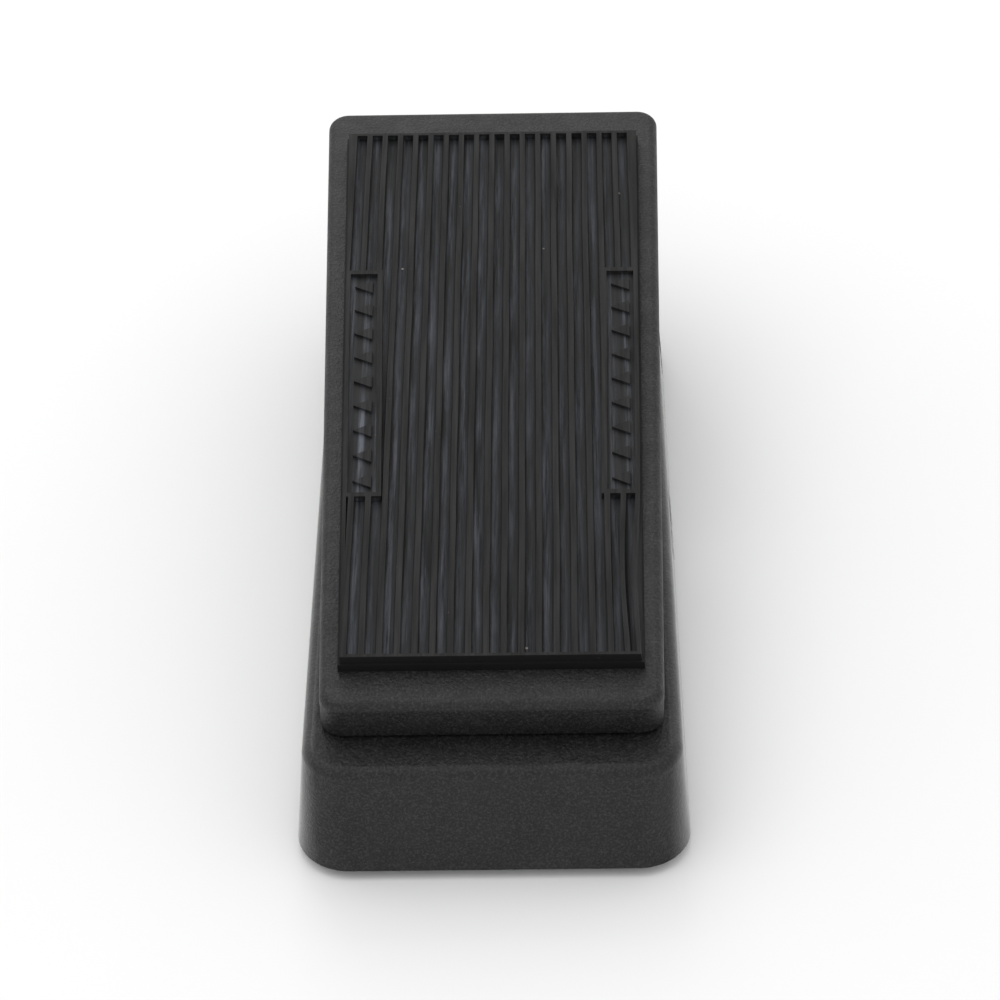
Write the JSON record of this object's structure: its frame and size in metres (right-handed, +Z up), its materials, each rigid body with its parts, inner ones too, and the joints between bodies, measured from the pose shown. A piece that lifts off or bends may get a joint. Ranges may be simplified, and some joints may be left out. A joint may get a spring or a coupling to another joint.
{
  "type": "volume pedal",
  "caption": "Black cast foot pedal: a ribbed rubber-topped treadle rocks on a cross shaft over a box base and turns a potentiometer by rack and pinion.",
  "frame": {"origin": "on the floor under the middle of the base, at the underside of the feet", "axes": "+X to the player's right, +Y from heel to toe, +Z up"},
  "size_m": [0.102, 0.2533, 0.0761],
  "materials": {
    "cast_paint": "satin black textured paint",
    "pad_rubber": "worn matt black rubber",
    "foot_rubber": "matt black rubber",
    "plate_steel": "black painted steel sheet",
    "print_white": "white screen print",
    "nylon": "natural nylon",
    "steel": "zinc plated steel",
    "nickel": "nickel plate",
    "brass": "machined brass",
    "phenolic": "brown phenolic sheet",
    "wire_red": "PVC insulation",
    "wire_white": "PVC insulation",
    "wire_black": "PVC insulation",
    "wire_green": "PVC insulation"
  },
  "bodies": {
    "base": {"base_housing": "cast_paint", "bottom_plate": "plate_steel", "foot_heel_left": "foot_rubber", "foot_heel_right": "foot_rubber", "foot_toe_left": "foot_rubber", "foot_toe_right": "foot_rubber", "foot_screws": "nickel", "heel_bumper_left": "foot_rubber", "heel_bumper_right": "foot_rubber", "toe_bumper_left": "foot_rubber", "toe_bumper_right": "foot_rubber", "side_mark": "print_white", "pivot_bush_left": "nylon", "pivot_bush_right": "nylon", "brake_block": "nylon", "brake_cap": "steel", "brake_screws": "nickel", "rack_guide": "nylon", "rack_guide_screws": "nickel", "pot_body": "steel", "pot_terminals": "brass", "pot_washer": "steel", "pot_nut": "nickel", "pot_bracket": "steel", "pot_bracket_screws": "nickel", "input_jack_bushing": "nickel", "input_jack_frame": "nickel", "input_jack_stack": "phenolic", "input_jack_spring": "brass", "input_jack_washer": "steel", "input_jack_nut": "nickel", "output_jack_bushing": "nickel", "output_jack_frame": "nickel", "output_jack_stack": "phenolic", "output_jack_spring": "brass", "output_jack_washer": "steel", "output_jack_nut": "nickel", "wire_input_hot": "wire_red", "wire_output_hot": "wire_white", "wire_ground_link": "wire_black", "wire_pot_ground": "wire_green"},
    "treadle": {"treadle": "cast_paint", "tread_pad": "pad_rubber", "pivot_shaft": "steel", "shaft_set_screws": "steel", "rack_bracket": "steel", "rack_bracket_screws": "nickel", "rack_pin": "steel", "rack_pin_clip": "steel"},
    "rack": {"rack": "brass"},
    "pinion": {"pinion_gear": "brass", "pinion_set_screw": "steel", "pot_shaft": "nickel"}
  },
  "joints": [
    {"name": "treadle_hinge", "type": "hinge", "parent": "base", "child": "treadle", "pos_m": [0, 0, 0.042], "axis": [-1, 0, 0], "range_deg": [0, 12.3]},
    {"name": "rack_slide", "type": "slide", "parent": "base", "child": "rack", "axis": [0, 0, -1], "range_m": [0, 0.00939]},
    {"name": "pinion_spin", "type": "hinge", "parent": "base", "child": "pinion", "pos_m": [0, 0.03476, 0.021], "axis": [-1, 0, 0], "range_deg": [0, 104.2]}
  ],
  "couplings": [
    {"joint": "rack_slide", "follows": "treadle_hinge", "m_per_rad": 0.04279},
    {"joint": "pinion_spin", "follows": "treadle_hinge", "ratio": 8.3902}
  ]
}
